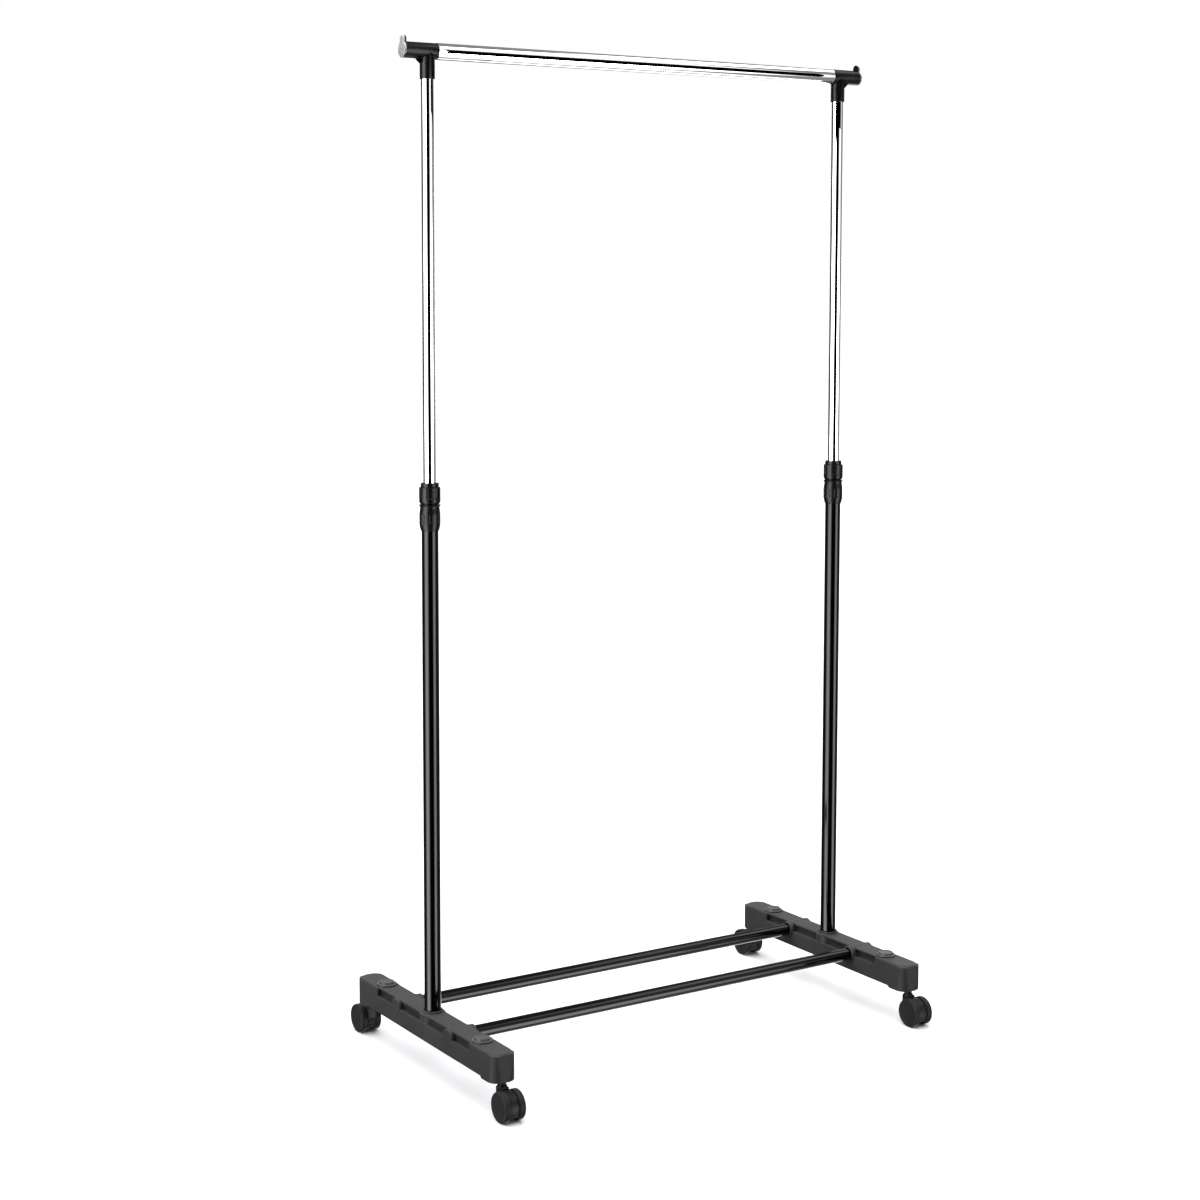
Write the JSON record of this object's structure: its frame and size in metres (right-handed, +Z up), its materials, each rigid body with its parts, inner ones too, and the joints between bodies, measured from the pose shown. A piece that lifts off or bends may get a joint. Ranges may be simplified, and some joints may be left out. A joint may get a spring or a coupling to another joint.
{
  "type": "garment rail",
  "caption": "Rolling garment rail with moulded feet on twin-wheel casters, two base bars, telescopic posts with twist-lock collars and a chromed hanging rail.",
  "frame": {"origin": "on the floor, below the middle of the hanging rail, at full height with the casters trailing outwards", "axes": "+X along the hanging rail to the right, +Y from front to back, +Z up"},
  "size_m": [0.866, 0.506, 1.585],
  "materials": {
    "foot_plastic": "moulded, fine satin grain",
    "cap_plastic": "moulded, satin",
    "black_enamel": "glossy black powder coat",
    "chrome": "mirror plated",
    "collar_plastic": "satin moulded",
    "nylon": "natural nylon",
    "end_cap_silver": "silver satin",
    "zinc_screw": "zinc plated",
    "black_screw": "black",
    "caster_plastic": "satin moulded",
    "wheel_plastic": "satin moulded",
    "zinc_steel": "zinc plated"
  },
  "bodies": {
    "base": {"left_foot": "foot_plastic", "right_foot": "foot_plastic", "front_base_bar": "black_enamel", "rear_base_bar": "black_enamel", "left_lower_post": "black_enamel", "right_lower_post": "black_enamel", "left_post_plug": "nylon", "right_post_plug": "nylon", "left_collar": "collar_plastic", "right_collar": "collar_plastic", "left_collet": "nylon", "right_collet": "nylon", "foot_post_screws": "zinc_screw", "base_bar_screws": "zinc_screw", "front_left_plug_cap": "cap_plastic", "front_right_plug_cap": "cap_plastic", "rear_left_plug_cap": "cap_plastic", "rear_right_plug_cap": "cap_plastic", "front_left_caster_socket": "zinc_steel", "front_right_caster_socket": "zinc_steel", "rear_left_caster_socket": "zinc_steel", "rear_right_caster_socket": "zinc_steel"},
    "top_frame": {"left_upper_post": "chrome", "right_upper_post": "chrome", "left_post_bush": "nylon", "right_post_bush": "nylon", "left_tee": "collar_plastic", "right_tee": "collar_plastic", "top_rail": "chrome", "left_end_cap": "end_cap_silver", "right_end_cap": "end_cap_silver", "tee_screws": "black_screw"},
    "left_nut": {"left_lock_nut": "collar_plastic"},
    "right_nut": {"right_lock_nut": "collar_plastic"},
    "front_left_caster": {"front_left_stem": "caster_plastic", "front_left_hood": "caster_plastic", "front_left_axle": "zinc_steel"},
    "front_left_wheel_a": {"front_left_wheel_a": "wheel_plastic"},
    "front_left_wheel_b": {"front_left_wheel_b": "wheel_plastic"},
    "front_right_caster": {"front_right_stem": "caster_plastic", "front_right_hood": "caster_plastic", "front_right_axle": "zinc_steel"},
    "front_right_wheel_a": {"front_right_wheel_a": "wheel_plastic"},
    "front_right_wheel_b": {"front_right_wheel_b": "wheel_plastic"},
    "rear_left_caster": {"rear_left_stem": "caster_plastic", "rear_left_hood": "caster_plastic", "rear_left_axle": "zinc_steel"},
    "rear_left_wheel_a": {"rear_left_wheel_a": "wheel_plastic"},
    "rear_left_wheel_b": {"rear_left_wheel_b": "wheel_plastic"},
    "rear_right_caster": {"rear_right_stem": "caster_plastic", "rear_right_hood": "caster_plastic", "rear_right_axle": "zinc_steel"},
    "rear_right_wheel_a": {"rear_right_wheel_a": "wheel_plastic"},
    "rear_right_wheel_b": {"rear_right_wheel_b": "wheel_plastic"}
  },
  "joints": [
    {"name": "height_slide", "type": "slide", "parent": "base", "child": "top_frame", "axis": [0, 0, 1], "range_m": [-0.595, 0]},
    {"name": "left_nut_turn", "type": "hinge", "parent": "base", "child": "left_nut", "pos_m": [-0.39, 0, 0.905], "axis": [0, 0, 1], "range_deg": [0, 180]},
    {"name": "right_nut_turn", "type": "hinge", "parent": "base", "child": "right_nut", "pos_m": [0.39, 0, 0.905], "axis": [0, 0, 1], "range_deg": [0, 180]},
    {"name": "front_left_swivel", "type": "hinge", "parent": "base", "child": "front_left_caster", "pos_m": [-0.39, -0.212, 0.06], "axis": [0, 0, 1], "continuous": true},
    {"name": "front_left_spin_a", "type": "hinge", "parent": "front_left_caster", "child": "front_left_wheel_a", "pos_m": [-0.39, -0.23, 0.023], "axis": [1, 0, 0], "continuous": true},
    {"name": "front_left_spin_b", "type": "hinge", "parent": "front_left_caster", "child": "front_left_wheel_b", "pos_m": [-0.39, -0.23, 0.023], "axis": [1, 0, 0], "continuous": true},
    {"name": "front_right_swivel", "type": "hinge", "parent": "base", "child": "front_right_caster", "pos_m": [0.39, -0.212, 0.06], "axis": [0, 0, 1], "continuous": true},
    {"name": "front_right_spin_a", "type": "hinge", "parent": "front_right_caster", "child": "front_right_wheel_a", "pos_m": [0.39, -0.23, 0.023], "axis": [1, 0, 0], "continuous": true},
    {"name": "front_right_spin_b", "type": "hinge", "parent": "front_right_caster", "child": "front_right_wheel_b", "pos_m": [0.39, -0.23, 0.023], "axis": [1, 0, 0], "continuous": true},
    {"name": "rear_left_swivel", "type": "hinge", "parent": "base", "child": "rear_left_caster", "pos_m": [-0.39, 0.212, 0.06], "axis": [0, 0, 1], "continuous": true},
    {"name": "rear_left_spin_a", "type": "hinge", "parent": "rear_left_caster", "child": "rear_left_wheel_a", "pos_m": [-0.39, 0.23, 0.023], "axis": [1, 0, 0], "continuous": true},
    {"name": "rear_left_spin_b", "type": "hinge", "parent": "rear_left_caster", "child": "rear_left_wheel_b", "pos_m": [-0.39, 0.23, 0.023], "axis": [1, 0, 0], "continuous": true},
    {"name": "rear_right_swivel", "type": "hinge", "parent": "base", "child": "rear_right_caster", "pos_m": [0.39, 0.212, 0.06], "axis": [0, 0, 1], "continuous": true},
    {"name": "rear_right_spin_a", "type": "hinge", "parent": "rear_right_caster", "child": "rear_right_wheel_a", "pos_m": [0.39, 0.23, 0.023], "axis": [1, 0, 0], "continuous": true},
    {"name": "rear_right_spin_b", "type": "hinge", "parent": "rear_right_caster", "child": "rear_right_wheel_b", "pos_m": [0.39, 0.23, 0.023], "axis": [1, 0, 0], "continuous": true}
  ]
}
